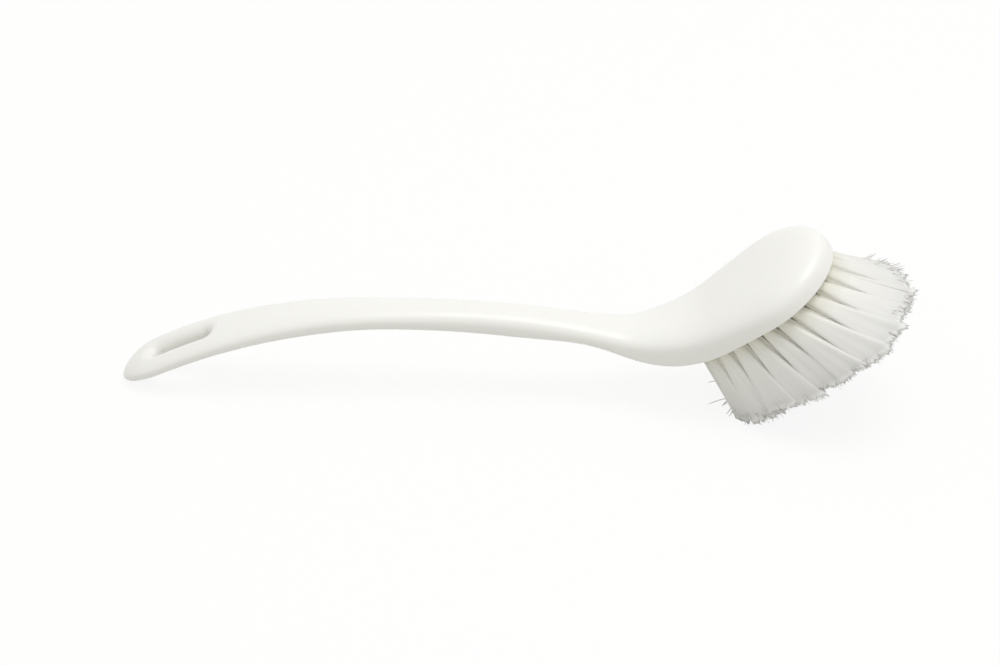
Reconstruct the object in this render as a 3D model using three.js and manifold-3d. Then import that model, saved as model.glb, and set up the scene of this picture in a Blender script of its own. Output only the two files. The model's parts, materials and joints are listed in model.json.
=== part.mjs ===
// A dish brush: one moulded body of handle, neck and head, tufts of bristle in three rings on the sole,
// and a flat-wire anchor across the bottom of each tuft's blind hole.
// Millimetres, +Z up. The brush lies on a table at z = 0, on its handle end and its heel bristles,
// with the toe towards +X and its mirror plane at y = 0.
import * as THREE from 'three';
import { mergeGeometries, mergeVertices } from 'three/addons/utils/BufferGeometryUtils.js';
import Module from 'manifold-3d';

const wasm = await Module();
wasm.setup();
const { degToRad, lerp, smoothstep } = THREE.MathUtils;

// Spine of the body from the side: the drooping tip, the arch of the grip, the flatter fall of the neck,
// the turn of the throat and the straight head
const tipRadius = 36;
const tipTurn = degToRad(18);
const gripRadius = 183;
const gripTurn = degToRad(26.5);
const neckRadius = 424;
const neckTurn = degToRad(11.4);
const throatRadius = 48;
const headTilt = degToRad(36.5);
const headLength = 45.7;

// Half widths of the body and lengths of its two round ends, seen from above
const tipHalfWidth = 10.2;
const slotHalfWidth = 11;
const gripHalfWidth = 9.2;
const crownHalfWidth = 7.9;
const neckHalfWidth = 7.3;
const throatHalfWidth = 9.3;
const heelHalfWidth = 15.7;
const headHalfWidth = 25;
const gripBehindCrown = 28;
const neckBehindThroat = 38;
const tipRound = 15;
const toeRound = 27;

// Heights of the body above and below the line where it is widest
const tipRise = 2.5;
const slotRise = 3.6;
const gripRise = 4.3;
const neckRise = 4.8;
const heelRise = 7.1;
const headRise = 8.6;
const toeRise = 9;
const tipDepth = 4;
const slotDepth = 3.6;
const gripDepth = 4.1;
const crownDepth = 3.7;
const neckDepth = 4.6;
const throatDepth = 4.9;
const soleDepth = 2.5;

// How square each section is, as the power of a superellipse: 2 is an ellipse
const handleSquareness = 2.4;
const headSquareness = 2.8;
const toeSquareness = 3.4;
const heelSoleSquareness = 8;
const soleSquareness = 10;

// Hang slot through the handle end
const slotMiddle = 24.5;
const slotLength = 22;
const slotWidth = 6;
const slotEndFacets = 5;
const slotCutHeight = 30;

// Tuft field on the sole: an egg outline, and three rings of tufts inside it, each with a tuft in the
// middle of the toe, so that both sides of the head match
const soleEdge = 0.8;
const heelReach = 17.5;
const heelSquareness = 4.5;
const edgeInset = 0.18 * headHalfWidth;
const ringPitch = 0.29 * headHalfWidth;
const tuftRings = [
  { name: 'outer', inset: edgeInset, tufts: 24 },
  { name: 'middle', inset: edgeInset + ringPitch, tufts: 14 },
  { name: 'inner', inset: edgeInset + 2 * ringPitch, tufts: 6 },
];

// Bristles: each tuft is a bundle of strands that fans out, trimmed a little shorter at the toe. The
// forward lean eases from its heel value to its toe value between two shares of the sole's length.
const heelBristleLength = 29.2;
const toeBristleLength = 28;
const heelLean = -0.03;
const toeLean = 0.62;
const leanFrom = 0.05;
const leanTo = 0.85;
const sideLean = 0.36;
const strandsRoundTuft = 8;
const strandSides = 3;
const strandRadius = 0.5;
const tuftDome = 1;
const restSink = 0.5;
const tableSize = 1000;

// Blind holes, bristle roots, anchors and the spread of a tuft's tips: smaller where the rings stand closer
const rootShare = 0.29;
const anchorShare = 2.5;
const strandShare = 0.71;
const tipShare = 0.41;
const rootRadius = rootShare * ringPitch;
const anchorLength = anchorShare * rootRadius;
const strandCircle = strandShare * rootRadius;
const tipCircle = tipShare * ringPitch;
const rootLength = 4;
const backingInset = 1.4;
const backingThickness = 1.5;
const anchorThickness = 0.4;
const anchorHeight = 1.8;
const clearance = 0.3;

// Fineness of the curved surfaces
const ringSides = 32;
const tipRings = 6;
const handleRings = 34;
const toeRings = 8;
const rootSides = 8;
const outlineSteps = 48;
const ringDivisions = 4000;
const mergeDistance = 1e-4;
const tiltTolerance = 1e-9;

const bodyMaterial = { color: 0xf3f2ec, roughness: 0.32, metalness: 0 };
const bristleMaterial = { color: 0xe4e3da, roughness: 0.55, metalness: 0 };
const anchorMaterial = { color: 0xb4b6b8, roughness: 0.35, metalness: 1 };

// Distances along the spine, from the handle tip
const gripAt = tipRadius * tipTurn;
const crownAt = gripAt + gripRadius * gripTurn;
const throatAt = crownAt + neckRadius * neckTurn;
const headAt = throatAt + throatRadius * (neckTurn + headTilt);
const toeAt = headAt + headLength;
const widestAt = toeAt - toeRound;
const heelAt = headAt - heelReach;

// Solids for cutting and joining

function solidOf(geometry) {
  const bare = new THREE.BufferGeometry();
  bare.setAttribute('position', geometry.attributes.position.clone());
  bare.setIndex(geometry.index ? geometry.index.clone() : null);
  const merged = mergeVertices(bare, mergeDistance);
  const mesh = new wasm.Mesh({
    numProp: 3,
    vertProperties: new Float32Array(merged.attributes.position.array),
    triVerts: new Uint32Array(merged.index.array),
  });
  return new wasm.Manifold(mesh);
}

function geometryOf(solid) {
  const mesh = solid.getMesh();
  const geometry = new THREE.BufferGeometry();
  geometry.setAttribute('position', new THREE.BufferAttribute(mesh.vertProperties, 3));
  geometry.setIndex(new THREE.BufferAttribute(mesh.triVerts, 1));
  geometry.computeVertexNormals();
  return geometry;
}

function namedMesh(name, geometry, look) {
  const mesh = new THREE.Mesh(geometry, new THREE.MeshStandardMaterial(look));
  mesh.name = name;
  return mesh;
}

function extrudeUp(shape, height) {
  return new THREE.ExtrudeGeometry(shape, { depth: height, bevelEnabled: false });
}

// The spine: a chain of arcs in the XZ plane, from the tip of the handle at the origin to the toe

function arcStep(from, radius, turn) {
  // a positive turn bends the path upwards
  const heading = from.heading + turn;
  const side = Math.sign(turn);
  const x = from.x + side * radius * (Math.sin(heading) - Math.sin(from.heading));
  const z = from.z - side * radius * (Math.cos(heading) - Math.cos(from.heading));
  return { x, z, heading };
}

function straightStep(from, length) {
  const x = from.x + length * Math.cos(from.heading);
  const z = from.z + length * Math.sin(from.heading);
  return { x, z, heading: from.heading };
}

const tipStart = { x: 0, z: 0, heading: tipTurn + gripTurn };
const gripStart = arcStep(tipStart, tipRadius, -tipTurn);
const neckStart = arcStep(gripStart, gripRadius, -gripTurn);
const throatStart = arcStep(neckStart, neckRadius, -neckTurn);
const headStart = arcStep(throatStart, throatRadius, neckTurn + headTilt);

function spineAt(s) {
  if (s < gripAt) return arcStep(tipStart, tipRadius, -s / tipRadius);
  if (s < crownAt) return arcStep(gripStart, gripRadius, -(s - gripAt) / gripRadius);
  if (s < throatAt) return arcStep(neckStart, neckRadius, -(s - crownAt) / neckRadius);
  if (s < headAt) return arcStep(throatStart, throatRadius, (s - throatAt) / throatRadius);
  return straightStep(headStart, s - headAt);
}

// Body: rings of points along the spine

// the flat sole runs on behind the straight head, while the spine bends away from it
const heelDepth = soleDepth + throatRadius * (1 - Math.cos(heelReach / throatRadius));

// half width, rise, depth and the squareness above and below, at places along the spine
const handleShape = [handleSquareness, handleSquareness];
const stations = [
  { at: 0, values: [tipHalfWidth, tipRise, tipDepth, ...handleShape] },
  { at: slotMiddle, values: [slotHalfWidth, slotRise, slotDepth, ...handleShape] },
  { at: crownAt - gripBehindCrown, values: [gripHalfWidth, gripRise, gripDepth, ...handleShape] },
  { at: crownAt, values: [crownHalfWidth, gripRise, crownDepth, ...handleShape] },
  { at: throatAt - neckBehindThroat, values: [neckHalfWidth, neckRise, neckDepth, ...handleShape] },
  { at: throatAt, values: [throatHalfWidth, neckRise, throatDepth, ...handleShape] },
  { at: heelAt, values: [heelHalfWidth, heelRise, heelDepth, headSquareness, heelSoleSquareness] },
  { at: widestAt, values: [headHalfWidth, headRise, soleDepth, headSquareness, soleSquareness] },
  { at: toeAt, values: [headHalfWidth, toeRise, soleDepth, toeSquareness, soleSquareness] },
];
const sectionCurve = new THREE.CubicInterpolant(
  stations.map((station) => station.at),
  stations.flatMap((station) => station.values),
  stations[0].values.length,
);

function ringAt(s) {
  const [halfWidth, rise, depth, topPower, underPower] = sectionCurve.evaluate(s);
  const { x, z, heading } = spineAt(s);
  // how far this ring is into a round end, from 0 to 1 at its tip
  const intoTip = Math.max(0, 1 - s / tipRound);
  const intoToe = Math.max(0, (s - widestAt) / toeRound);
  const into = Math.max(intoTip, intoToe);
  const points = [];
  for (let i = 0; i < ringSides; i++) {
    const angle = (2 * Math.PI * i) / ringSides;
    const above = Math.sin(angle) >= 0;
    const power = above ? topPower : underPower;
    const across = Math.sign(Math.cos(angle)) * Math.pow(Math.abs(Math.cos(angle)), 2 / power);
    const out = Math.min(1, Math.hypot(into, across * Math.sqrt(1 - into * into)));
    const height = Math.pow(1 - Math.pow(out, power), 1 / power) * (above ? rise : -depth);
    const y = across * halfWidth * Math.sqrt(1 - into * into);
    points.push(new THREE.Vector3(x - height * Math.sin(heading), y, z + height * Math.cos(heading)));
  }
  return points;
}

function ringPlaces() {
  const quarter = Math.PI / 2;
  const places = [];
  for (let i = 1; i < tipRings; i++) {
    places.push(tipRound * (1 - Math.cos((quarter * i) / tipRings)));
  }
  for (let i = 0; i < handleRings; i++) {
    places.push(lerp(tipRound, widestAt, i / handleRings));
  }
  for (let i = 0; i < toeRings; i++) {
    places.push(widestAt + toeRound * Math.sin((quarter * i) / toeRings));
  }
  return places;
}

function loftBody() {
  const rings = ringPlaces().map(ringAt);
  const tip = spineAt(0);
  const toe = spineAt(toeAt);
  const points = [new THREE.Vector3(tip.x, 0, tip.z), ...rings.flat()];
  points.push(new THREE.Vector3(toe.x, 0, toe.z));
  const toeIndex = points.length - 1;
  const at = (ring, side) => 1 + ring * ringSides + (side % ringSides);
  const triangles = [];
  for (let side = 0; side < ringSides; side++) {
    triangles.push(0, at(0, side + 1), at(0, side));
    for (let ring = 0; ring < rings.length - 1; ring++) {
      triangles.push(at(ring, side), at(ring, side + 1), at(ring + 1, side));
      triangles.push(at(ring, side + 1), at(ring + 1, side + 1), at(ring + 1, side));
    }
    triangles.push(at(rings.length - 1, side), at(rings.length - 1, side + 1), toeIndex);
  }
  const geometry = new THREE.BufferGeometry().setFromPoints(points);
  geometry.setIndex(triangles);
  return geometry;
}

function hangSlotCutter() {
  // a slot with round ends, whose middle facet is a flat square to the slot's length
  const endRadius = slotWidth / 2;
  const endCentre = slotLength / 2 - endRadius * Math.cos(Math.PI / slotEndFacets / 2);
  const outline = [];
  for (const end of [1, -1]) {
    for (let i = 0; i <= slotEndFacets; i++) {
      const angle = Math.PI * (i / slotEndFacets - 0.5);
      const along = endCentre + endRadius * Math.cos(angle);
      outline.push(new THREE.Vector2(end * along, end * endRadius * Math.sin(angle)));
    }
  }
  const cutter = extrudeUp(new THREE.Shape(outline), slotCutHeight);
  const { x, z, heading } = spineAt(slotMiddle);
  cutter.translate(0, 0, -slotCutHeight / 2);
  cutter.rotateY(-heading);
  cutter.translate(x, 0, z);
  return cutter;
}

// Head frame: x along the sole to the toe, y across, z = 0 on the sole and up into the head

const headPlace = new THREE.Vector3(
  headStart.x + soleDepth * Math.sin(headTilt),
  0,
  headStart.z - soleDepth * Math.cos(headTilt),
);
const headMatrix = new THREE.Matrix4().makeRotationY(-headTilt).setPosition(headPlace);

class FieldRing extends THREE.Curve {
  // a closed ring inside the sole's edge that follows the head's width, squarer at the heel than the toe
  constructor(inset) {
    super();
    this.arcLengthDivisions = ringDivisions;
    this.inset = inset + soleEdge;
    this.share = 1 - this.inset / headHalfWidth;
  }

  getPoint(t, target = new THREE.Vector2()) {
    const ahead = Math.cos(2 * Math.PI * t);
    const aside = Math.sin(2 * Math.PI * t);
    const power = ahead < 0 ? 2 / heelSquareness : 1;
    const length = (ahead < 0 ? widestAt - heelAt : toeRound) - this.inset;
    const along = Math.sign(ahead) * length * Math.pow(Math.abs(ahead), power);
    const [halfWidth] = sectionCurve.evaluate(widestAt + along);
    const across = Math.sign(aside) * halfWidth * this.share * Math.pow(Math.abs(aside), power);
    return target.set(widestAt - headAt + along, across);
  }
}

// Tufts: every point of the sole leans by its place, so no strand meets another

function shareFromHeel(place) {
  return (place.x + heelReach) / (headLength + heelReach);
}

function leanAt(place) {
  const forward = lerp(heelLean, toeLean, smoothstep(shareFromHeel(place), leanFrom, leanTo));
  return new THREE.Vector2(forward, (sideLean * place.y) / (headHalfWidth - edgeInset));
}

function tuftsOf(ring) {
  const curve = new FieldRing(ring.inset);
  const tufts = [];
  for (let i = 0; i < ring.tufts; i++) {
    const place = curve.getPointAt(i / ring.tufts);
    const along = curve.getTangentAt(i / ring.tufts);
    const across = new THREE.Vector3(along.y, -along.x, 0);
    const number = String(i + 1).padStart(2, '0');
    tufts.push({ place, across, lean: leanAt(place), name: `anchor_${ring.name}_${number}` });
  }
  return tufts;
}

function tuftMatrix({ place, across, lean }) {
  // x along the anchor, across the ring; z into the head along the tuft, with z = 0 on the sole
  const inward = new THREE.Vector3(-lean.x, -lean.y, 1).normalize();
  const along = across.clone().projectOnPlane(inward).normalize();
  const side = new THREE.Vector3().crossVectors(inward, along);
  return new THREE.Matrix4().makeBasis(along, side, inward).setPosition(place.x, place.y, 0);
}

function backingDepth({ lean }) {
  // the backing's thickness measured along the leaning tuft
  return backingThickness * Math.hypot(1, lean.x, lean.y);
}

function boxAt(sizeX, sizeY, low, high) {
  return new THREE.BoxGeometry(sizeX, sizeY, high - low).translate(0, 0, (low + high) / 2);
}

function rodAt(radius, low, high) {
  const rod = new THREE.CylinderGeometry(radius, radius, high - low, rootSides);
  return rod.rotateX(Math.PI / 2).translate(0, 0, (low + high) / 2);
}

function tuftHole(tuft) {
  // blind hole for the root, with a notch where the anchor bites into the wall
  const end = backingDepth(tuft) + rootLength;
  const hole = solidOf(rodAt(rootRadius + clearance, 0, end + clearance));
  const notchLength = anchorLength + 2 * clearance;
  const notchWidth = anchorThickness + 2 * clearance;
  const notch = solidOf(boxAt(notchLength, notchWidth, end - anchorHeight - clearance, end + clearance));
  return hole.add(notch).transform(tuftMatrix(tuft).elements);
}

function tuftRoot(tuft) {
  // folded end of the bundle, slotted over its anchor and cut off level inside the backing
  const end = backingDepth(tuft) + rootLength;
  const rod = solidOf(rodAt(rootRadius, -rootRadius, end));
  const slotWide = anchorThickness + 2 * clearance;
  const slot = solidOf(boxAt(2 * anchorLength, slotWide, end - anchorHeight - clearance, end + clearance));
  const root = rod.subtract(slot).transform(tuftMatrix(tuft).elements);
  return root.trimByPlane([0, 0, 1], backingThickness / 2);
}

function tuftAnchor(tuft) {
  const end = backingDepth(tuft) + rootLength;
  const strip = boxAt(anchorLength, anchorThickness, end - anchorHeight, end);
  const anchor = namedMesh(tuft.name, strip, anchorMaterial);
  anchor.applyMatrix4(tuftMatrix(tuft));
  return anchor;
}

function strand(root, tip) {
  // rod of few sides from inside the backing to its trimmed tip, one corner facing the toe
  const facing = Math.PI / 2;
  const rod = new THREE.CylinderGeometry(strandRadius, strandRadius, 1, strandSides, 1, false, facing);
  const position = rod.attributes.position;
  for (let i = 0; i < position.count; i++) {
    const along = position.getY(i) + 0.5;
    const x = lerp(root.x, tip.x, along) + position.getX(i);
    const y = lerp(root.y, tip.y, along) + position.getZ(i);
    position.setXYZ(i, x, y, lerp(root.z, tip.z, along));
  }
  return rod;
}

function tuftStrands({ place, lean }) {
  const length = lerp(heelBristleLength, toeBristleLength, shareFromHeel(place));
  const strands = [];
  for (let i = 0; i <= strandsRoundTuft; i++) {
    const out = i === 0 ? 0 : 1;
    const angle = (2 * Math.PI * i) / strandsRoundTuft;
    const outward = new THREE.Vector2(out * Math.cos(angle), out * Math.sin(angle));
    const height = length - tuftDome * out;
    const root = place.clone().addScaledVector(outward, strandCircle);
    const tip = place.clone().addScaledVector(lean, height).addScaledVector(outward, tipCircle);
    const inside = root.clone().lerp(tip, -backingThickness / 2 / height);
    const start = new THREE.Vector3(inside.x, inside.y, backingThickness / 2);
    strands.push(strand(start, new THREE.Vector3(tip.x, tip.y, -height)));
  }
  return mergeGeometries(strands);
}

// Backing slices: the part of the sole that each group of tufts stands in

function backingOutline(inset) {
  const curve = new FieldRing(inset);
  const outline = [];
  for (let i = 0; i < outlineSteps; i++) outline.push(curve.getPoint(i / outlineSteps));
  return outline;
}

function backingSlice(outerInset, innerInset) {
  const shape = new THREE.Shape(backingOutline(outerInset));
  if (innerInset) shape.holes.push(new THREE.Path(backingOutline(innerInset)));
  return extrudeUp(shape, backingThickness);
}

function bristleGroup(slice, tufts) {
  let solid = solidOf(slice);
  for (const tuft of tufts) {
    solid = solid.add(solidOf(tuftStrands(tuft)));
    solid = solid.add(tuftRoot(tuft));
  }
  return solid;
}

// Assembly

const [outerTufts, middleTufts, innerTufts] = tuftRings.map(tuftsOf);
const allTufts = [...outerTufts, ...middleTufts, ...innerTufts];
const outerLimit = (tuftRings[0].inset + tuftRings[1].inset - clearance) / 2;
const middleLimit = (tuftRings[1].inset + tuftRings[2].inset - clearance) / 2;

const bristles = {
  bristles_outer: bristleGroup(backingSlice(backingInset, outerLimit), outerTufts),
  bristles_middle: bristleGroup(backingSlice(outerLimit + clearance, middleLimit), middleTufts),
  bristles_inner: bristleGroup(backingSlice(middleLimit + clearance), innerTufts),
};

function solePocket() {
  const shape = new THREE.Shape(backingOutline(backingInset - clearance));
  const pocket = extrudeUp(shape, soleDepth + backingThickness + clearance);
  return solidOf(pocket.translate(0, 0, -soleDepth));
}

function bodySolid() {
  let cuts = solePocket();
  for (const tuft of allTufts) cuts = cuts.add(tuftHole(tuft));
  cuts = cuts.transform(headMatrix.elements).add(solidOf(hangSlotCutter()));
  return solidOf(loftBody()).subtract(cuts);
}

function pointsOf(solid, matrix) {
  const array = solid.getMesh().vertProperties;
  const points = [];
  for (let i = 0; i < array.length; i += 3) {
    points.push(new THREE.Vector3(array[i], array[i + 1], array[i + 2]).applyMatrix4(matrix));
  }
  return points;
}

function lowest(points, tilt) {
  let low = Infinity;
  for (const point of points) {
    low = Math.min(low, point.z * Math.cos(tilt) - point.x * Math.sin(tilt));
  }
  return low;
}

function restingTilt(bodyPoints, bristlePoints) {
  // halve the range until the handle end and the bristle tips, pressed down by restSink, touch one table
  let low = -Math.PI / 4;
  let high = Math.PI / 4;
  while (high - low > tiltTolerance) {
    const tilt = (low + high) / 2;
    const bristlesHigher = lowest(bristlePoints, tilt) + restSink > lowest(bodyPoints, tilt);
    if (bristlesHigher) low = tilt;
    else high = tilt;
  }
  return (low + high) / 2;
}

const body = bodySolid();
const bodyPoints = pointsOf(body, new THREE.Matrix4());
const bristlePoints = Object.values(bristles).flatMap((solid) => pointsOf(solid, headMatrix));
const tilt = restingTilt(bodyPoints, bristlePoints);
const tableHeight = lowest(bodyPoints, tilt);

function tableCutter() {
  // everything below the table, in the head frame
  const block = new THREE.BoxGeometry(tableSize, tableSize, tableSize);
  block.translate(0, 0, tableHeight - tableSize / 2);
  block.rotateY(-tilt);
  return solidOf(block.applyMatrix4(headMatrix.clone().invert()));
}

const table = tableCutter();
const head = new THREE.Group();
head.applyMatrix4(headMatrix);
for (const [name, solid] of Object.entries(bristles)) {
  head.add(namedMesh(name, geometryOf(solid.subtract(table)), bristleMaterial));
}
for (const tuft of allTufts) head.add(tuftAnchor(tuft));

const brush = new THREE.Group();
brush.name = 'dish_brush';
brush.add(namedMesh('brush_body', geometryOf(body), bodyMaterial), head);
brush.rotation.y = tilt;
brush.updateMatrixWorld(true);

const bounds = new THREE.Box3().setFromObject(brush, true);
const middle = bounds.getCenter(new THREE.Vector3());
brush.position.set(-middle.x, 0, -bounds.min.z);
brush.updateMatrixWorld(true);

export default brush;
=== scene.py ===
# Dish brush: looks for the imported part. Shapes are worked out in millimetres along the brush's own spine,
# then laid on the table and turned into metres.
import json
import math

import bmesh
import bpy
import numpy as np
from mathutils import Matrix, Vector

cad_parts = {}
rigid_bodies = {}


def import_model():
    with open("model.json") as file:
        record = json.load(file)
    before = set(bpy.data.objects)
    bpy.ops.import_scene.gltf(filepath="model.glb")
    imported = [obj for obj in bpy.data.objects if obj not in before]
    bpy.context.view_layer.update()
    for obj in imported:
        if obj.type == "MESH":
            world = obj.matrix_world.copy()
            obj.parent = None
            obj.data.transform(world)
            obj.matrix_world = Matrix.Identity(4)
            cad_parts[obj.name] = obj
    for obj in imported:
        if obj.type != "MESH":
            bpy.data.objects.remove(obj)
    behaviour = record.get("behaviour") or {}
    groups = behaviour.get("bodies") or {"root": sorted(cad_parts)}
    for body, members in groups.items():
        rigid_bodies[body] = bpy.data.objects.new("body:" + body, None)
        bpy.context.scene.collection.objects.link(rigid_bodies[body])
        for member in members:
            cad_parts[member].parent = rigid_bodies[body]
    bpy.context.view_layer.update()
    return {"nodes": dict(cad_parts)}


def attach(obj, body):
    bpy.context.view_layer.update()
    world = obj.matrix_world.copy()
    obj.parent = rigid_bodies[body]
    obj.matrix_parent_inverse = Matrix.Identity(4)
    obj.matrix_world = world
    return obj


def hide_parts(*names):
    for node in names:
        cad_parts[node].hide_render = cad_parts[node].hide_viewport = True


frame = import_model()
print("frame loaded:", len(frame["nodes"]), "nodes")

scene = bpy.context.scene
mm = 0.001
chance = np.random.default_rng(73)

# How the brush lies: turned about Y by the tilt (radians), then shifted (mm)
rest = {"tilt": -0.03320942, "shift": (-138.67795, 0.0, 0.60666)}


def toTable(points):
    # turn about Y, shift, and go from millimetres to metres
    c = math.cos(rest["tilt"])
    s = math.sin(rest["tilt"])
    x, y, z = np.moveaxis(points, -1, 0)
    turned = np.stack([x * c + z * s, y, z * c - x * s], axis=-1)
    return (turned + np.array(rest["shift"])) * mm


# Spine of the body seen from the side: radius (mm) and turn (degrees) of each bend from the handle tip, then
# the straight head. The throat takes back the neck's turn and adds the head's tilt.
spine = {
    "tip": (36.0, 18.0),
    "grip": (183.0, 26.5),
    "neck": (424.0, 11.4),
    "throat": (48.0, 11.4 + 36.5),
    "headTilt": 36.5,
    "headLength": 45.7,
}


def spineStretches():
    # start, x, z, heading and curvature of each stretch, one after another; the throat alone bends upwards
    stretches = []
    start, x, z = 0.0, 0.0, 0.0
    heading = math.radians(spine["tip"][1] + spine["grip"][1])
    for name, side in (("tip", -1), ("grip", -1), ("neck", -1), ("throat", 1)):
        radius, turn = spine[name]
        turn = side * math.radians(turn)
        stretches.append((start, x, z, heading, side / radius))
        chord = 2 * radius * math.sin(abs(turn) / 2)
        x += chord * math.cos(heading + turn / 2)
        z += chord * math.sin(heading + turn / 2)
        heading += turn
        start += radius * abs(turn)
    stretches.append((start, x, z, heading, 0.0))
    return np.array(stretches)


stretches = spineStretches()
crown, head = stretches[2], stretches[4]  # where the neck and the head begin
crownAt, throatAt, headAt = stretches[2:, 0]
toeAt = headAt + spine["headLength"]


def spineAt(s):
    # x, z and heading at s: an arc's chord is d*sin(kd/2)/(kd/2) long and runs along the heading half way
    index = np.clip(np.searchsorted(stretches[:, 0], s, side="right") - 1, 0, len(stretches) - 1)
    start, x, z, heading, bend = np.moveaxis(stretches[index], -1, 0)
    d = s - start
    chord = d * np.sinc(bend * d / (2 * np.pi))
    halfWay = heading + bend * d / 2
    return x + chord * np.cos(halfWay), z + chord * np.sin(halfWay), heading + bend * d


# Body (mm)
body = {
    "tipRound": 15.0,
    "toeRound": 27.0,
    "heelReach": 17.5,
    "soleDepth": 2.5,
    "headHalfWidth": 25.0,
    "gripBehindCrown": 28.0,
    "neckBehindThroat": 38.0,
    "handleSquareness": 2.4,
    "slotMiddle": 24.5,
    "slotLength": 22.0,
    "slotWidth": 5.3,
    "slotTopFillet": 4.2,
    "slotUnderFillet": 1.5,
    "ringPoints": 144,
    "ringStep": 1.25,
    "toeRings": 48,
    "endCut": 43.0,  # where the slotted end meets the rest
    "tipPoints": 44,
    "sidePoints": 34,
    "filletRings": 9,
    "endRings": 26,
    "wallRings": 6,
    "weld": 0.004,
}
widestAt = toeAt - body["toeRound"]
heelAt = headAt - body["heelReach"]
throatRadius = spine["throat"][0]
heelDepth = body["soleDepth"] + throatRadius * (1 - math.cos(body["heelReach"] / throatRadius))

# Sections: place along the spine, half width, height above and below the widest line, and how square the top
# and the underside are (2 is an ellipse)
halfWidth, rise, depth, topSquareness, underSquareness = range(1, 6)
handle = (body["handleSquareness"], body["handleSquareness"])
sections = np.array([
    (0.0, 10.2, 2.5, 4.0, *handle),
    (body["slotMiddle"], 11.0, 3.6, 3.6, *handle),
    (crownAt - body["gripBehindCrown"], 9.2, 4.3, 4.1, *handle),
    (crownAt, 7.9, 4.3, 3.7, *handle),
    (throatAt - body["neckBehindThroat"], 7.3, 4.8, 4.6, *handle),
    (throatAt, 9.3, 4.8, 4.9, *handle),
    (heelAt, 15.7, 7.1, heelDepth, 2.8, 8.0),
    (widestAt, body["headHalfWidth"], 8.6, body["soleDepth"], 2.8, 10.0),
    (toeAt, body["headHalfWidth"], 9.0, body["soleDepth"], 3.4, 10.0),
])


def sectionAt(s, column):
    # cubic through the sections; the slope at one is the mean of the two straight lines that meet there
    at = sections[:, 0]
    values = sections[:, column]
    line = np.diff(values) / np.diff(at)
    slope = np.concatenate([line[:1], (line[1:] + line[:-1]) / 2, line[-1:]])
    i = np.clip(np.searchsorted(at, s) - 1, 0, len(at) - 2)
    gap = at[i + 1] - at[i]
    p = (s - at[i]) / gap
    start = (1 + 2 * p) * (1 - p) ** 2 * values[i] + p * (1 - p) ** 2 * gap * slope[i]
    end = p ** 2 * (3 - 2 * p) * values[i + 1] + p ** 2 * (p - 1) * gap * slope[i + 1]
    return start + end


def intoEnd(s):
    # 0 along the body, growing evenly to 1 at the very tip or toe
    intoTip = np.maximum(0, 1 - s / body["tipRound"])
    intoToe = np.maximum(0, (s - widestAt) / body["toeRound"])
    return np.clip(np.maximum(intoTip, intoToe), 0, 1)


def skinHeight(s, y, side):
    # superellipse dome: with out the share of the way to the rim, the height is (1 - out^n)^(1/n)
    out = np.clip(np.hypot(intoEnd(s), y / sectionAt(s, halfWidth)), 0, 1)
    power = sectionAt(s, topSquareness if side > 0 else underSquareness)
    dome = np.clip(1 - out ** power, 0, 1) ** (1 / power)
    return dome * sectionAt(s, rise) if side > 0 else -dome * sectionAt(s, depth)


def offSpine(s, y, height):
    # a point at that height square to the spine
    x, z, heading = spineAt(s)
    return np.stack([x - height * np.sin(heading), y, z + height * np.cos(heading)], axis=-1)


def paired(first, second):
    # two arrays as one of pairs
    return np.stack([first, second], axis=-1)


def anglesRound(count):
    # angles evenly round a circle
    return 2 * np.pi * np.arange(count) / count


def gridFaces(rows, columns):
    # quads of a grid of rows by columns, whose last column joins its first
    row, column = np.meshgrid(np.arange(rows - 1), np.arange(columns), indexing="ij")
    ahead = (column + 1) % columns
    here, below = row * columns, (row + 1) * columns
    return np.stack([here + column, here + ahead, below + ahead, below + column], axis=-1).reshape(-1, 4)


def gridCorners(rows, columns):
    # column and row of the corners of those quads, in the same order, counted on past the seam
    row, column = np.meshgrid(np.arange(rows - 1), np.arange(columns), indexing="ij")
    across = np.stack([column, column + 1, column + 1, column], axis=-1)
    down = np.stack([row, row, row + 1, row + 1], axis=-1)
    return across.ravel(), down.ravel()


def ringAcross(power):
    # points of half a superellipse from +1 to -1, evenly by its angle: cos^(2/n) with the sign of the cosine
    cosine = np.cos(np.linspace(0, np.pi, body["ringPoints"] // 2 + 1))
    return np.sign(cosine) * np.abs(cosine) ** (2 / power)


def bodyLoft():
    # rings of two half superellipses along the spine, from the cut behind the slot to the toe
    straight = np.arange(body["endCut"], widestAt, body["ringStep"])
    quarter = np.linspace(0, np.pi / 2, body["toeRings"], endpoint=False)
    s = np.concatenate([straight, widestAt + body["toeRound"] * np.sin(quarter)])[:, None]
    rim = sectionAt(s, halfWidth) * np.sqrt(1 - intoEnd(s) ** 2)
    top = ringAcross(sectionAt(s, topSquareness)) * rim
    under = ringAcross(sectionAt(s, underSquareness))[:, ::-1][:, 1:-1] * rim
    places = np.broadcast_to(s, top.shape)
    above = offSpine(places, top, skinHeight(places, top, 1))
    places = np.broadcast_to(s, under.shape)
    below = offSpine(places, under, skinHeight(places, under, -1))
    rings = np.concatenate([above, below], axis=1)
    toe = offSpine(np.array([toeAt]), np.zeros(1), np.zeros(1))
    points = np.concatenate([rings.reshape(-1, 3), toe])
    rows, columns = rings.shape[:2]
    last = (rows - 1) * columns + np.arange(columns)
    fan = np.stack([last, np.roll(last, -1), np.full(columns, len(points) - 1)], axis=-1)
    return {"points": points, "faces": (gridFaces(rows, columns), fan)}


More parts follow.
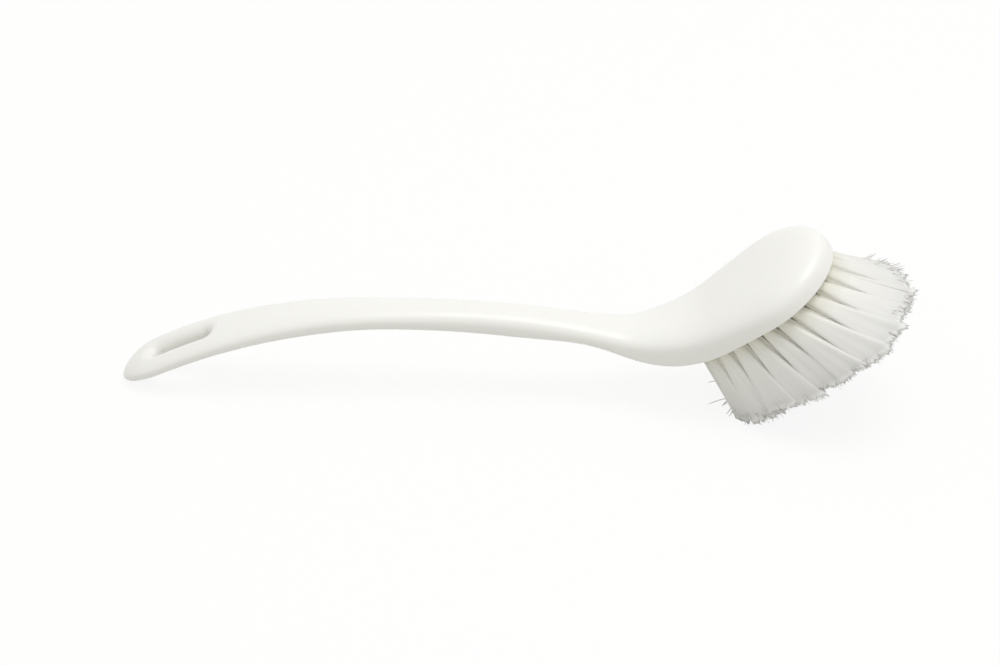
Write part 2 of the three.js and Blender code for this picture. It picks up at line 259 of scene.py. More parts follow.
def endLoops():
    # two matching loops seen from above: the slot's edge with its outward direction, and the body's rim.
    # The cut across the handle faces the slot's inner round, the sides its straights, the tip its outer round.
    radius = body["slotWidth"] / 2
    reach = (body["slotLength"] - body["slotWidth"]) / 2
    middle = body["slotMiddle"]
    cut = np.full(body["ringPoints"] // 2 + 1, body["endCut"])
    rim = sectionAt(cut[:1], halfWidth) * ringAcross(sectionAt(cut[:1], topSquareness))
    turn = np.linspace(np.pi / 2, -np.pi / 2, len(cut))
    outer = [paired(cut, rim)]
    inner = [paired(middle + reach + radius * np.cos(turn), radius * np.sin(turn))]
    away = [paired(np.cos(turn), np.sin(turn))]
    share = np.linspace(0, 1, body["sidePoints"] + 1)[1:]
    tipTurn = np.linspace(-np.pi / 2, np.pi / 2, body["tipPoints"] + 1)[1:]
    for side in (-1, 1):
        along = share if side < 0 else (1 - share)[:-1]
        s = body["endCut"] + (body["tipRound"] - body["endCut"]) * along
        outer.append(paired(s, side * sectionAt(s, halfWidth)))
        inner.append(paired(middle + reach - 2 * reach * along, np.full_like(s, side * radius)))
        away.append(paired(np.zeros_like(s), np.full_like(s, side)))
        if side < 0:
            s = body["tipRound"] * (1 - np.cos(tipTurn))
            outer.append(paired(s, sectionAt(s, halfWidth) * np.sin(tipTurn)))
            inner.append(paired(middle - reach - radius * np.cos(tipTurn), radius * np.sin(tipTurn)))
            away.append(paired(-np.cos(tipTurn), np.sin(tipTurn)))
    return np.concatenate(inner), np.concatenate(away), np.concatenate(outer)


def endSheet(side):
    # loops from the slot's edge to the rim: a quarter-round fillet first, then out over the dome
    inner, away, outer = endLoops()
    fillet = body["slotTopFillet"] if side > 0 else body["slotUnderFillet"]
    roll = np.linspace(0, np.pi / 2, body["filletRings"])[:, None]
    rounded = inner + (fillet * (1 - np.cos(roll)))[..., None] * away
    sunk = np.repeat(fillet * (1 - np.sin(roll)), len(inner), axis=1)
    swing = np.linspace(0, np.pi / 2, body["endRings"])[1:, None, None]
    dome = rounded[-1] + np.sin(swing) ** (2 / body["handleSquareness"]) * (outer - rounded[-1])
    plan = np.concatenate([rounded, dome])
    sunk = np.concatenate([sunk, np.zeros((len(dome), len(inner)))])
    s, y = plan[..., 0], plan[..., 1]
    return s, y, skinHeight(s, y, side) - side * sunk


def slottedEnd():
    # the top sheet, the slot's wall and the sheet underneath, as one run of loops round the slot
    topS, topY, topH = endSheet(1)
    lowS, lowY, lowH = endSheet(-1)
    share = np.linspace(0, 1, body["wallRings"] + 1)[1:-1, None]
    wallS = np.repeat(topS[:1], len(share), axis=0)
    wallY = np.repeat(topY[:1], len(share), axis=0)
    wallH = topH[:1] + share * (lowH[:1] - topH[:1])
    s = np.concatenate([topS[::-1], wallS, lowS])
    y = np.concatenate([topY[::-1], wallY, lowY])
    height = np.concatenate([topH[::-1], wallH, lowH])
    return {"points": offSpine(s, y, height).reshape(-1, 3), "faces": (gridFaces(*s.shape),)}


def joined(parts):
    # the points of all parts in one run, and their faces as lists, counted on from part to part
    firsts = np.cumsum([0] + [len(part["points"]) for part in parts])
    faces = []
    for first, part in zip(firsts, parts):
        for block in part["faces"]:
            faces += (first + block).tolist()
    return np.concatenate([part["points"] for part in parts]), faces


def meshPiece(name, points, faces, weld=None):
    # a smooth mesh in metres, laid on the table and flattened where the table stops it
    mesh = bpy.data.meshes.new(name)
    laid = toTable(points)
    laid[:, 2] = np.maximum(laid[:, 2], 0)
    mesh.from_pydata(laid.tolist(), [], faces)
    if weld:
        shell = bmesh.new()
        shell.from_mesh(mesh)
        bmesh.ops.remove_doubles(shell, verts=shell.verts, dist=weld * mm)
        bmesh.ops.recalc_face_normals(shell, faces=shell.faces)
        shell.to_mesh(mesh)
        shell.free()
    mesh.polygons.foreach_set("use_smooth", np.ones(len(mesh.polygons), dtype=bool))
    mesh.update()
    piece = bpy.data.objects.new(name, mesh)
    scene.collection.objects.link(piece)
    return piece


def makeBody():
    # the slotted end and the rest, welded along the cut
    points, faces = joined([slottedEnd(), bodyLoft()])
    piece = meshPiece("brushBody", points, faces, weld=body["weld"])
    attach(piece, "root")
    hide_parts("brush_body")
    return piece


# Bristles (mm, or shares of a tuft's length or width): rings of tufts on the sole, as in the part, with a value
# for each ring where there are three
bristles = {
    "soleEdge": 0.8,
    "heelSquareness": 4.5,
    "edgeInset": 4.5,
    "ringPitch": 7.25,
    "ringTufts": (24, 14, 6),
    "ringSamples": 4001,
    "runStep": 0.005,
    "heelLength": 29.6,
    "toeLength": 24.8,
    "unevenLength": (0.75, 0.25, 0.15),
    "heelLean": -0.05,
    "toeLean": 0.62,
    "leanFrom": 0.05,
    "leanTo": 0.85,
    "sideLean": 0.36,
    "unevenLean": 0.012,
    "swept": {1: -0.09, 2: -0.15, 3: -0.15, 4: -0.16, 5: -0.12, 6: -0.06},  # more lean for outer tufts
    "sweptSize": 0.9,
    "tuftRadius": (2.05, 3.2, 3.2),
    "tipAlong": (6.6, 7.8, 9.0),
    "tipOutward": (4.0, 6.9, 6.9),
    "tipInward": (6.2, 7.0, 10.0),
    "tipSquareness": 7.0,
    "fanPower": 1.2,
    "lobes": (2, 3, 5, 9),
    "lobeLength": 0.011,
}


def fieldRing(turn, inset):
    # ring inside the sole's edge: cosine along, sine across the head's width there, squarer at the heel
    ahead = np.cos(2 * np.pi * turn)
    aside = np.sin(2 * np.pi * turn)
    power = np.where(ahead < 0, 2 / bristles["heelSquareness"], 1.0)
    length = np.where(ahead < 0, widestAt - heelAt, body["toeRound"]) - inset
    along = np.sign(ahead) * length * np.abs(ahead) ** power
    share = 1 - inset / body["headHalfWidth"]
    across = np.sign(aside) * sectionAt(widestAt + along, halfWidth) * share * np.abs(aside) ** power
    return paired(widestAt - headAt + along, across)


def fromHeel(places):
    # 0 at the heel of the sole, 1 at its toe
    return (places[:, 0] + body["heelReach"]) / (spine["headLength"] + body["heelReach"])


def leanAt(places):
    # sideways travel for each millimetre down: forward eases in towards the toe (3u^2 - 2u^3), outward grows
    # evenly to the edge
    u = np.clip((fromHeel(places) - bristles["leanFrom"]) / (bristles["leanTo"] - bristles["leanFrom"]), 0, 1)
    forward = bristles["heelLean"] + (bristles["toeLean"] - bristles["heelLean"]) * (3 - 2 * u) * u ** 2
    outward = bristles["sideLean"] * places[:, 1] / (body["headHalfWidth"] - bristles["edgeInset"])
    return paired(forward, outward)


def makeTufts(ring):
    # evenly spaced by length round the ring, each with the way the ring runs there. The length changes from
    # heel to toe by the square of the share of the way, and no two leans, lengths and lobes are quite alike.
    inset = bristles["edgeInset"] + ring * bristles["ringPitch"] + bristles["soleEdge"]
    count = bristles["ringTufts"][ring]
    turns = np.linspace(0, 1, bristles["ringSamples"])
    steps = np.linalg.norm(np.diff(fieldRing(turns, inset), axis=0), axis=1)
    walked = np.concatenate([[0], np.cumsum(steps)])
    at = np.interp(np.arange(count) / count * walked[-1], walked, turns)
    place = fieldRing(at, inset)
    run = fieldRing(at + bristles["runStep"], inset) - fieldRing(at - bristles["runStep"], inset)
    run /= np.linalg.norm(run, axis=1, keepdims=True)
    length = bristles["heelLength"] + (bristles["toeLength"] - bristles["heelLength"]) * fromHeel(place) ** 2
    lean = leanAt(place) + chance.normal(0, bristles["unevenLean"], place.shape)
    size = np.ones(count)
    if ring == 0:
        swept = list(bristles["swept"])
        lean[swept, 1] += list(bristles["swept"].values())
        size[swept] = bristles["sweptSize"]
    tufts = {
        "place": place,
        "run": run,
        "out": paired(run[:, 1], -run[:, 0]),
        "lean": lean,
        "size": size,
        "length": length + chance.normal(0, bristles["unevenLength"][ring], count),
        "phase": 2 * np.pi * chance.random((count, len(bristles["lobes"]))),
    }
    for key in ("tuftRadius", "tipAlong", "tipOutward", "tipInward"):
        tufts[key] = np.full(count, bristles[key][ring])
    return tufts


def inTufts(tufts, along, across, t):
    # places as tufts by rows by columns: a spot on a unit section, along and across the ring, is spread by the
    # share t of the way down, root + (tip - root)*t^power, with the tip's width outwards unlike that inwards,
    # and carried down the lean
    keys = ("size", "length", "tuftRadius", "tipAlong", "tipOutward", "tipInward")
    size, length, root, wide, outward, inward = (tufts[key][:, None, None] for key in keys)
    fan = np.clip(t, 0, None) ** bristles["fanPower"]
    along = size * along * (root + (wide - root) * fan)
    across = size * across * (root + (np.where(across > 0, outward, inward) - root) * fan)
    fall = length * t
    plan = [
        tufts["place"][:, None, None, i] + tufts["lean"][:, None, None, i] * fall
        + tufts["run"][:, None, None, i] * along + tufts["out"][:, None, None, i] * across
        for i in (0, 1)
    ]
    return np.stack([*plan, -fall], axis=-1)


def squared(angle, t):
    # unit superellipse by its angle, (|cos|^n + |sin|^n)^(-1/n): a circle at the sole, nearly square at the
    # tip, where neighbouring tufts close up
    power = 2 + bristles["tipSquareness"] * np.clip(t, 0, 1)
    return (np.abs(np.cos(angle)) ** power + np.abs(np.sin(angle)) ** power) ** (-1 / power)


def lobesAt(angle, phase):
    # sum of a few sine waves round a tuft, each starting at a place of its own
    return np.sin(angle[..., None] * np.array(bristles["lobes"]) + phase).sum(axis=-1)


def fromHead(points):
    # head frame (x to the toe, z = 0 on the sole) to the brush's own frame: turned by the tilt, on the sole
    c = math.cos(math.radians(spine["headTilt"]))
    s = math.sin(math.radians(spine["headTilt"]))
    along, aside, up = np.moveaxis(points, -1, 0)
    x = head[1] + body["soleDepth"] * s + along * c - up * s
    z = head[2] - body["soleDepth"] * c + along * s + up * c
    return np.stack([x, aside, z], axis=-1)


def shellFaces(count, rows, columns):
    # equal closed shells, one after another: all their walls, then their first rings turned over, then the last
    first = np.arange(count)[:, None] * rows * columns
    ring = np.arange(columns)
    walls = (first[..., None] + gridFaces(rows, columns)).reshape(-1, 4)
    return walls, first + ring[::-1], first + (rows - 1) * columns + ring


# Map to bake the bristles through, in shares of its height or of a bundle's cell
bakeMap = {
    "bundles": 0.8,
    "margin": 0.03,
    "walls": 0.9,
    "disc": 0.45,
    "discsAt": (0.25, 0.75),
    "tube": 0.01,
    "tubePower": 4,
    "tubeTop": 1.3,
}


def bundleMap(count, rows, columns):
    # each bundle has a square cell: its wall unrolled, and its root and cap as small discs above that
    across, down = gridCorners(rows, columns)
    wall = paired(across / columns, bakeMap["walls"] * down / (rows - 1))
    angle = anglesRound(columns)
    left = 1 - bakeMap["walls"]
    disc = bakeMap["disc"] * left * paired(np.cos(angle), np.sin(angle))
    rootAt, capAt = ((at, 1 - left / 2) for at in bakeMap["discsAt"])
    side = math.ceil(math.sqrt(count))
    cell = paired(np.arange(count) % side, np.arange(count) // side)[:, None]
    margin = bakeMap["margin"]
    parts = [wall, disc[::-1] + rootAt, disc + capAt]
    placed = [(cell + margin + (1 - 2 * margin) * part).reshape(-1, 2) / side for part in parts]
    return np.concatenate(placed) * (1.0, bakeMap["bundles"])


def tubeMap(shade, t, sides):
    # all tubes share the band above: across by their shade, up by a power of t, which gives the tips more room
    wide = bakeMap["tube"]
    left = (shade * (1 - wide))[:, None]
    below = np.clip(1 - t ** bakeMap["tubePower"] / bakeMap["tubeTop"], 0, 1)
    height = 1 - wide - (1 - bakeMap["bundles"] - 2 * wide) * below
    across, down = gridCorners(t.shape[-1], sides)
    wall = paired(left + wide * across / sides, height[:, down])
    angle = anglesRound(sides)
    ends = [
        paired(left + wide / 2 * (1 + np.cos(turn)), height[:, step] + wide / 2 * np.sin(turn))
        for turn, step in ((angle[::-1], [0]), (angle, [-1]))
    ]
    return np.concatenate([part.reshape(-1, 2) for part in (wall, *ends)])


# Packed bundle of a tuft. Its closing rows give the share of the way down, the width, and how much of the
# ragged end is left.
bundle = {
    "columns": 96,
    "rootShare": 0.07,
    "wallRows": 10,
    "wallTo": 0.9,
    "closing": ((0.96, 1.0, 1.0), (1.0, 0.97, 1.0), (1.0, 0.7, 0.3), (1.0, 0.3, 0.0)),
    "end": 0.965,
    "ragged": 0.022,
    "ridge": 0.004,
    "clump": 0.018,
    "backFill": 0.33,
    "backEdge": 0.3,
    "shade": 0.5,
    "lobeShade": 0.08,
    "unevenShade": 0.12,
    "streakGap": 10,  # between the streaks of one tuft and the next
}


def tuftBundles(tufts):
    # one closed cone for each tuft: a superellipse carried down it, filled out at the back near the sole, that
    # swells towards the tip and ends by the tuft's lobes. Each column has its own ridge, shade and end, and the
    # ends grow level over the cap.
    count, columns = len(tufts["place"]), bundle["columns"]
    angle = anglesRound(columns)
    wall = np.concatenate([[-bundle["rootShare"]], np.linspace(0, bundle["wallTo"], bundle["wallRows"])])
    wall = np.stack([wall, np.ones_like(wall), np.ones_like(wall)], axis=-1)
    share, narrow, settle = np.concatenate([wall, bundle["closing"]]).T[..., None]
    lobes = lobesAt(angle, tufts["phase"][:, None, None])
    uneven = chance.normal(0, bundle["ragged"], (count, 1, columns)) + bristles["lobeLength"] * lobes
    t = share * np.where(share > 0, bundle["end"] + settle * uneven, 1.0)
    ridge = chance.normal(0, bundle["ridge"], (count, 1, columns))
    swell = narrow * squared(angle, t) * (1 + bundle["clump"] * lobes * np.clip(t, 0, 1) + ridge)
    behind = np.clip((bundle["backEdge"] - np.sin(angle)) / (2 * bundle["backEdge"]), 0, 1)
    fill = 1 + bundle["backFill"] * (3 - 2 * behind) * behind ** 2 * np.clip(1 - t, 0, 1)
    points = inTufts(tufts, fill * swell * np.cos(angle), swell * np.sin(angle), t)
    unevenShade = chance.normal(0, bundle["unevenShade"], (count, 1, columns))
    shade = np.clip(bundle["shade"] + bundle["lobeShade"] * lobes + unevenShade, 0, 1)
    around = np.broadcast_to(paired(np.cos(angle), np.sin(angle)), (*t.shape, 2))
    down = t + bundle["streakGap"] * np.arange(count)[:, None, None]
    return {
        "points": points.reshape(-1, 3),
        "faces": shellFaces(count, len(share), columns),
        "shade": np.broadcast_to(shade, t.shape).ravel(),
        "along": t.ravel(),
        "strand": np.concatenate([around, down[..., None]], axis=-1).reshape(-1, 3),
        "map": bundleMap(count, len(share), columns),
    }


tube = {"sides": 3, "tipTaper": 0.6}


def filamentTubes(paths, t, thickness):
    # a thin tube round each path, its rings square to the path's overall direction, closed at both ends
    steps, sides = paths.shape[-2], tube["sides"]
    paths = paths.reshape(-1, steps, 3)
    t = t.reshape(-1, steps)
    direction = paths[:, -1] - paths[:, 0]
    direction /= np.linalg.norm(direction, axis=1, keepdims=True)
    aside = np.cross(direction, (0.0, 1.0, 0.0))
    aside /= np.linalg.norm(aside, axis=1, keepdims=True)
    other = np.cross(direction, aside)
    angle = anglesRound(sides)[None, :, None]
    ring = np.cos(angle) * aside[:, None] + np.sin(angle) * other[:, None]
    radius = np.full(steps, thickness / 2)
    radius[-1] *= tube["tipTaper"]
    points = paths[:, :, None] + radius[None, :, None, None] * ring[:, None]
    shade = chance.random(len(paths))
    return {
        "points": points.reshape(-1, 3),
        "faces": shellFaces(len(paths), steps, sides),
        "shade": np.repeat(shade, steps * sides),
        "along": np.repeat(t, sides, axis=1).ravel(),
        "strand": np.zeros((points.size // 3, 3)),
        "map": tubeMap(shade, t, sides),
    }


tips = {"count": 500, "from": 0.88, "to": 0.985, "out": 0.98, "ragged": 0.018, "sway": 0.06, "thickness": 0.25}


def freeTips(tufts):
    # filament ends: a sunflower spiral over the bundle, each running on past its end by a length of its own
    count = len(tufts["place"])
    step = np.arange(tips["count"]) + 0.5
    angle = step * np.pi * (3 - math.sqrt(5)) + 2 * np.pi * chance.random((count, 1))
    reach = tips["out"] * np.sqrt(step / tips["count"])
    s = np.linspace(0, 1, 2)
    clumps = bristles["lobeLength"] * lobesAt(angle, tufts["phase"][:, None]) * reach ** 2
    ends = tips["to"] + clumps[..., None] + chance.normal(0, tips["ragged"], (*angle.shape, 1))
    t = tips["from"] + (ends - tips["from"]) * s
    sway = chance.normal(0, tips["sway"], (2, *angle.shape, 1)) * s
    reach = reach * squared(angle, 1.0)
    along = (reach * np.cos(angle))[..., None] + sway[0]
    across = (reach * np.sin(angle))[..., None] + sway[1]
    return filamentTubes(inTufts(tufts, along, across, t), t, tips["thickness"])


loose = {
    "count": 3,
    "steps": 6,
    "from": -0.03,
    "length": 1.01,
    "ragged": 0.018,
    "out": 0.99,
    "sway": 0.06,
    "turn": 0.1,
    "thickness": 0.17,
}


def looseFilaments(tufts):
    # filaments lying along the outside of the bundle from the sole to the tip, swaying off by s^2
    shape = (len(tufts["place"]), loose["count"], 1)
    angle = 2 * np.pi * chance.random(shape)
    s = np.linspace(0, 1, loose["steps"])
    t = loose["from"] + (loose["length"] + chance.normal(0, loose["ragged"], shape)) * s
    swell = loose["out"] + chance.normal(0, loose["sway"], shape) * s ** 2
    turned = angle + chance.normal(0, loose["turn"], shape) * s
    swell = swell * squared(turned, t)
    paths = inTufts(tufts, swell * np.cos(turned), swell * np.sin(turned), t)
    return filamentTubes(paths, t, loose["thickness"])


fringe = {
    "count": 7,
    "steps": 5,
    "from": 0.8,
    "spread": 0.13,
    "length": 0.07,
    "out": 0.95,
    "bend": 0.12,
    "unevenBend": 0.25,
    "thickness": 0.25,
}


def fringeFilaments(tufts):
    # short ends that stand off the outer side of each tuft near its tip, bending away by s^2
    shape = (len(tufts["place"]), fringe["count"], 1)
    s = np.linspace(0, 1, fringe["steps"])
    t = fringe["from"] + fringe["spread"] * chance.random(shape) + fringe["length"] * s
    angle = np.pi * chance.random(shape)
    bend = fringe["bend"] + fringe["unevenBend"] * chance.random(shape)
    swell = squared(angle, t) * (fringe["out"] + bend * s ** 2)
    paths = inTufts(tufts, swell * np.cos(angle), swell * np.sin(angle), t)
    return filamentTubes(paths, t, fringe["thickness"])


# Strays: the tuft, the shares of its length where they leave it and that they run over, and how far they curl
strays = {
    "steps": 9,
    "aside": 0.8,
    "out": 0.85,
    "thickness": 0.3,
    "filaments": (
        (0, 0.84, 0.13, 0.8), (1, 0.6, 0.2, 1.0), (1, 0.78, 0.15, 1.2), (1, 0.86, 0.1, 0.9),
        (2, 0.58, 0.12, 1.2), (2, 0.66, 0.1, 1.4), (2, 0.72, 0.12, 1.0), (2, 0.8, 0.1, 1.1),
        (2, 0.86, 0.08, 0.8), (3, 0.7, 0.12, 1.2), (3, 0.82, 0.12, 0.9), (3, 0.9, 0.08, 0.8),
        (23, 0.85, 0.12, 0.7), (13, 0.55, -0.05, 1.1), (13, 0.8, -0.12, 2.2), (12, 0.86, 0.02, 0.8),
        (13, 0.76, 0.0, 0.9), (13, 0.82, 0.01, 0.8), (13, 0.86, 0.02, 1.0), (13, 0.89, 0.03, 0.7),
        (13, 0.92, 0.02, 0.9), (13, 0.95, 0.02, 0.7), (14, 0.8, 0.02, 0.9), (14, 0.86, 0.03, 0.8),
        (14, 0.92, 0.03, 0.8),
    ),
}


def strayFilaments(tufts):
    # single filaments that leave the outer side of their tuft and curl away from it faster and faster (s^2)
    tuft, start, over, curl = np.array(strays["filaments"]).T[..., None, None]
    chosen = {key: values[tuft[:, 0, 0].astype(int)] for key, values in tufts.items()}
    s = np.linspace(0, 1, strays["steps"])
    t = start + over * s
    along = strays["aside"] * (chance.random(tuft.shape) - 0.5) * (1 + s ** 2)
    across = strays["out"] + curl * s ** 2
    return filamentTubes(inTufts(chosen, along, across, t), t, strays["thickness"])


def makeBristles(name, node, ring):
    # all strands of a ring as one mesh, with what the material reads on its points and the map on its corners
    tufts = makeTufts(ring)
    parts = [tuftBundles(tufts), freeTips(tufts), looseFilaments(tufts)]
    if ring == 0:
        parts += [fringeFilaments(tufts), strayFilaments(tufts)]
    points, faces = joined(parts)
    piece = meshPiece(name, fromHead(points), faces)
    layers = {
        "shade": (piece.data.attributes.new("shade", "FLOAT", "POINT"), "value"),
        "along": (piece.data.attributes.new("along", "FLOAT", "POINT"), "value"),
        "strand": (piece.data.attributes.new("strand", "FLOAT_VECTOR", "POINT"), "vector"),
        "map": (piece.data.uv_layers.new(name="OFBake"), "uv"),  # the map's fixed name
    }
    for key, (layer, field) in layers.items():
        layer.data.foreach_set(field, np.concatenate([part[key] for part in parts]).astype(np.float32).ravel())
    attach(piece, "root")
    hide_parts(node)
    print(name, len(tufts["place"]), "tufts,", len(faces), "faces")
    return piece


def setInputs(tree, node, inputs):
    # each input gets a number or a colour of its own, or is joined to another node's output
    for key, value in inputs.items():
        socket = node.inputs[key]
        if isinstance(value, bpy.types.NodeSocket):
            tree.links.new(value, socket)
        else:
            socket.default_value = (*value, 1) if socket.type == "RGBA" else value


def addNode(tree, kind, inputs=None, **settings):
    node = tree.nodes.new(kind)
    for key, value in settings.items():
        setattr(node, key, value)
    setInputs(tree, node, inputs or {})
    return node


def addMath(tree, operation, first, second):
    return addNode(tree, "ShaderNodeMath", {0: first, 1: second}, operation=operation).outputs[0]


def rangeOf(tree, factor, low, high, start=0.3, stop=0.7):
    # low where the factor is at start, high where it is at stop; noise mostly lies between 0.3 and 0.7
    inputs = {"Value": factor, "From Min": start, "From Max": stop, "To Min": low, "To Max": high}
    return addNode(tree, "ShaderNodeMapRange", inputs).outputs["Result"]


def mixColours(tree, factor, first, second):
    # first where the factor is 0, second where it is 1
    return addNode(tree, "ShaderNodeMix", {0: factor, 6: first, 7: second}, data_type="RGBA").outputs[2]


def ownPlace(tree):
    # the piece's own object coordinates
    return addNode(tree, "ShaderNodeTexCoord").outputs["Object"]


def addNoise(tree, place, scale, detail):
    inputs = {"Vector": place, "Scale": scale, "Detail": detail}
    return addNode(tree, "ShaderNodeTexNoise", inputs).outputs["Fac"]


def addBump(tree, height, strength, distance, under=None, invert=False):
    # relief by a height, over the relief under it where there is some
    bump = addNode(tree, "ShaderNodeBump", {"Height": height, "Strength": strength, "Distance": distance})
    bump.invert = invert
    if under is not None:
        tree.links.new(under, bump.inputs["Normal"])
    return bump.outputs["Normal"]


def newMaterial(name):
    material = bpy.data.materials.new(name)
    material.use_nodes = True
    tree = material.node_tree
    return material, tree, tree.nodes["Principled BSDF"]


plastic = {
    "light": (0.87, 0.865, 0.828),
    "warm": (0.855, 0.848, 0.806),
    "flowScale": 22.0,
    "roughness": (0.3, 0.4),
    "glossScale": 60.0,
    "detail": 3.0,
    "skin": 0.02,
    "skinDepth": 0.0002,
    "skinScale": 900.0,
    "skinDetail": 2.0,
    "glow": 0.2,
    "glowRadius": (1.0, 0.95, 0.8),
    "glowScale": 0.002,
    "ior": 1.49,
}


def mouldedPlastic():
    # white moulded plastic: faint flow shades, uneven gloss, a fine skin, and light that goes a little way in
    material, tree, shader = newMaterial("whiteMouldedPlastic")
    place = ownPlace(tree)
    flow = addNoise(tree, place, plastic["flowScale"], plastic["detail"])
    gloss = addNoise(tree, place, plastic["glossScale"], plastic["detail"])
    skin = addNoise(tree, place, plastic["skinScale"], plastic["skinDetail"])
    setInputs(tree, shader, {
        "Base Color": mixColours(tree, flow, plastic["light"], plastic["warm"]),
        "Roughness": rangeOf(tree, gloss, *plastic["roughness"]),
        "Subsurface Weight": plastic["glow"],
        "Subsurface Radius": plastic["glowRadius"],
        "Subsurface Scale": plastic["glowScale"],
        "IOR": plastic["ior"],
        "Normal": addBump(tree, skin, plastic["skin"], plastic["skinDepth"]),
    })
    return material


# Filament: colours by the share of the way down the tuft, with painted shade and painted light among them,
# streaks along it and cut ends
filament = {
    # stops by the share of the way down: painted shade at the sole (0) and towards the trim (0.9), painted
    # light on the cut ends (0.96)
    "paintedLightStops": (
        (0.0, (0.73, 0.715, 0.585)), (0.3, (0.83, 0.82, 0.77)), (0.75, (0.77, 0.765, 0.735)),
        (0.9, (0.7, 0.695, 0.67)), (0.96, (0.9, 0.895, 0.87)),
    ),
    "dull": (0.64, 0.635, 0.6),
    "dulled": 0.3,
    "roughness": (0.4, 0.52),
    "ior": 1.5,
    "streaks": 40.0,
    "streakDetail": 2.0,
    "streakStretch": 0.04,
    "streakBump": 0.25,
    "endsFrom": (0.945, 0.965),
    "endDots": 2400.0,
    "endDotEdge": (0.3, 0.75),
    # painted shade in the gaps between the cut ends: its colour and how much of it
    "paintedGapShade": (0.5, 0.495, 0.47),
    "paintedGapShadeShare": 0.3,
    "endBump": 0.5,
    "relief": 0.0002,
}


def paintedLightRamp(tree, along):
    # ramp of the colours by the share of the way down: painted shade at the sole and towards the trim, painted
    # light on the cut ends
    node = addNode(tree, "ShaderNodeValToRGB", {0: along})
    stops = node.color_ramp.elements
    while len(stops) < len(filament["paintedLightStops"]):
        stops.new(0.5)
    for stop, (place, colour) in zip(stops, filament["paintedLightStops"]):
        stop.position = place
        stop.color = (*colour, 1)
    return node.outputs["Color"]


def shadedEndGaps(tree, along):
    # painted shade in the gaps between round cut ends, by the distance from the middle of each, on the trimmed
    # face alone
    trimmed = rangeOf(tree, along, 0.0, 1.0, *filament["endsFrom"])
    dots = addNode(tree, "ShaderNodeTexVoronoi", {"Vector": ownPlace(tree), "Scale": filament["endDots"]})
    shadedGaps = rangeOf(tree, dots.outputs["Distance"], 0.0, filament["paintedGapShadeShare"], *filament["endDotEdge"])
    return addMath(tree, "MULTIPLY", trimmed, shadedGaps)


def lengthStreaks(tree):
    # noise stretched down each tuft, so that it runs along the filaments
    strand = addNode(tree, "ShaderNodeAttribute", attribute_name="strand").outputs["Vector"]
    stretch = {"Vector": strand, "Scale": (1, 1, filament["streakStretch"])}
    place = addNode(tree, "ShaderNodeMapping", stretch).outputs["Vector"]
    return addNoise(tree, place, filament["streaks"], filament["streakDetail"])


def brushFilament():
    # off-white filament: warm painted shade at the sole, greyer painted shade down to the trim and painted
    # light on the cut ends, with a shade of its own for each one, and relief from the streaks with that of the
    # cut ends on top
    material, tree, shader = newMaterial("whiteFilament")
    along = addNode(tree, "ShaderNodeAttribute", attribute_name="along").outputs["Fac"]
    shade = addNode(tree, "ShaderNodeAttribute", attribute_name="shade").outputs["Fac"]
    dulled = addMath(tree, "MULTIPLY", shade, filament["dulled"])
    # the sides' colour carries the painted shade and painted light of the ramp
    sides = mixColours(tree, dulled, paintedLightRamp(tree, along), filament["dull"])
    # painted shade in the gaps between the cut ends, which also gives them their relief
    shadedGaps = shadedEndGaps(tree, along)
    streaks = lengthStreaks(tree)
    streaked = addBump(tree, streaks, filament["streakBump"], filament["relief"])
    setInputs(tree, shader, {
        "Base Color": mixColours(tree, shadedGaps, sides, filament["paintedGapShade"]),
        "Roughness": rangeOf(tree, streaks, *filament["roughness"]),
        "IOR": filament["ior"],
        "Normal": addBump(tree, shadedGaps, filament["endBump"], filament["relief"], under=streaked, invert=True),
    })
    return material


wire = {
    "light": (0.62, 0.63, 0.64),
    "dark": (0.48, 0.49, 0.5),
    "grain": 1500.0,
    "grainDetail": 3.0,
    "roughness": 0.38,
}


def anchorWire():
    # drawn flat wire: fine grain in two greys
    material, tree, shader = newMaterial("anchorWire")
    grain = addNoise(tree, ownPlace(tree), wire["grain"], wire["grainDetail"])
    setInputs(tree, shader, {
        "Base Color": mixColours(tree, grain, wire["light"], wire["dark"]),
        "Metallic": 1.0,
        "Roughness": wire["roughness"],
    })
    return material


def dress(piece, material):
    piece.data.materials.clear()
    piece.data.materials.append(material)


brushBody = makeBody()
dress(brushBody, mouldedPlastic())
print("body:", len(brushBody.data.polygons), "faces")

filamentLook = brushFilament()
rings = (
    ("bristlesOuter", "bristles_outer"),
    ("bristlesMiddle", "bristles_middle"),
    ("bristlesInner", "bristles_inner"),
)
for ring, (name, node) in enumerate(rings):
    dress(makeBristles(name, node, ring), filamentLook)

wireLook = anchorWire()
for name, node in frame["nodes"].items():
    if name.startswith("anchor_"):
        for materialSlot in node.material_slots:
            materialSlot.material = wireLook
print("anchors dressed")


# Studio (metres): a pale floor, a big soft lamp above, and even light all round
studio = {
    "floorSize": 8.0,
    "floorColour": (0.7, 0.695, 0.66),
    "floorGlow": 0.85,
    "floorGlowStrength": 1.04,
    "worldLight": 0.75,
    "keyPower": 5.8,
    "keySize": 0.7,
    "keyPlace": (0.25, 0.0, 1.25),
    "keyTarget": (0.0, 0.0, 0.03),
}


def showRays(tree):
    # 1 for rays that show the backdrop itself: camera, mirror and glass rays
    path = addNode(tree, "ShaderNodeLightPath").outputs
    seen = addMath(tree, "MAXIMUM", path["Is Camera Ray"], path["Is Glossy Ray"])
    return addMath(tree, "MAXIMUM", seen, path["Is Transmission Ray"])


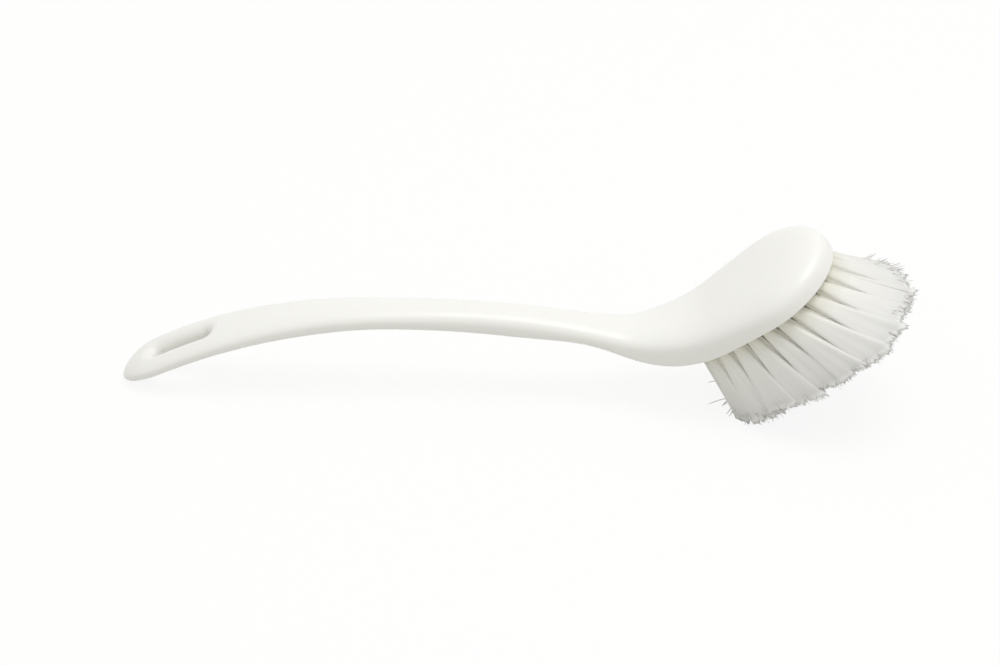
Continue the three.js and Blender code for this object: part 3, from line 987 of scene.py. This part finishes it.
def makeFloor():
    # a square that mostly glows white for the rays that show it, and takes the brush's shadow
    half = studio["floorSize"] / 2
    mesh = bpy.data.meshes.new("floor")
    corners = [(-half, -half, 0), (half, -half, 0), (half, half, 0), (-half, half, 0)]
    mesh.from_pydata(corners, [], [(0, 1, 2, 3)])
    floor = bpy.data.objects.new("floor", mesh)
    scene.collection.objects.link(floor)
    material = bpy.data.materials.new("paleFloor")
    material.use_nodes = True
    tree = material.node_tree
    tree.nodes.clear()
    matte = addNode(tree, "ShaderNodeBsdfDiffuse", {"Color": studio["floorColour"]}).outputs[0]
    glow = addNode(tree, "ShaderNodeEmission", {"Strength": studio["floorGlowStrength"]}).outputs[0]
    share = addMath(tree, "MULTIPLY", showRays(tree), studio["floorGlow"])
    mix = addNode(tree, "ShaderNodeMixShader", {0: share, 1: matte, 2: glow}).outputs[0]
    addNode(tree, "ShaderNodeOutputMaterial", {"Surface": mix})
    mesh.materials.append(material)


def makeWorld():
    # white all round for the rays that show it, and a little less light than that on the brush
    world = bpy.data.worlds.new("studioLight")
    scene.world = world
    world.use_nodes = True
    tree = world.node_tree
    strength = rangeOf(tree, showRays(tree), studio["worldLight"], 1.0, start=0.0, stop=1.0)
    setInputs(tree, tree.nodes["Background"], {"Color": (1, 1, 1), "Strength": strength})


def makeLamp():
    # a round lamp turned towards its target
    lamp = bpy.data.lights.new("keyLamp", "AREA")
    lamp.energy = studio["keyPower"]
    lamp.shape = "DISK"
    lamp.size = studio["keySize"]
    holder = bpy.data.objects.new("keyLamp", lamp)
    scene.collection.objects.link(holder)
    holder.location = studio["keyPlace"]
    way = Vector(studio["keyTarget"]) - Vector(studio["keyPlace"])
    holder.rotation_euler = way.to_track_quat("-Z", "Y").to_euler()


# Camera: set in the brush's own frame, before it is laid on the table, as the photograph was seen
view = {
    "elevation": 33.0,
    "distance": 1300.0,
    "pixel": 0.3544,  # mm at the target
    "imageWidth": 1000,
    "sensor": 36.0,
    "aim": (43.24, -8.11),  # mm ahead of the crown of the grip and above it
    "clipStart": 0.05,
}


def makeCamera():
    # back from the target by the distance, up by the elevation, with a lens that gives the size of a pixel
    target = Vector((crown[1] + view["aim"][0], 0, crown[2] + view["aim"][1]))
    up = math.radians(view["elevation"])
    place = target + view["distance"] * Vector((0, -math.cos(up), math.sin(up)))
    laid = Matrix.Translation(Vector(rest["shift"]) * mm) @ Matrix.Rotation(rest["tilt"], 4, "Y")
    data = bpy.data.cameras.new("camera")
    data.sensor_width = view["sensor"]
    data.lens = view["distance"] / view["pixel"] * view["sensor"] / view["imageWidth"]
    data.clip_start = view["clipStart"]
    holder = bpy.data.objects.new("camera", data)
    scene.collection.objects.link(holder)
    holder.matrix_world = laid @ Matrix.Translation(place * mm) @ Matrix.Rotation(math.pi / 2 - up, 4, "X")
    scene.camera = holder


makeFloor()
makeWorld()
makeLamp()
makeCamera()
scene.view_settings.view_transform = "Standard"
print("studio and camera ready")
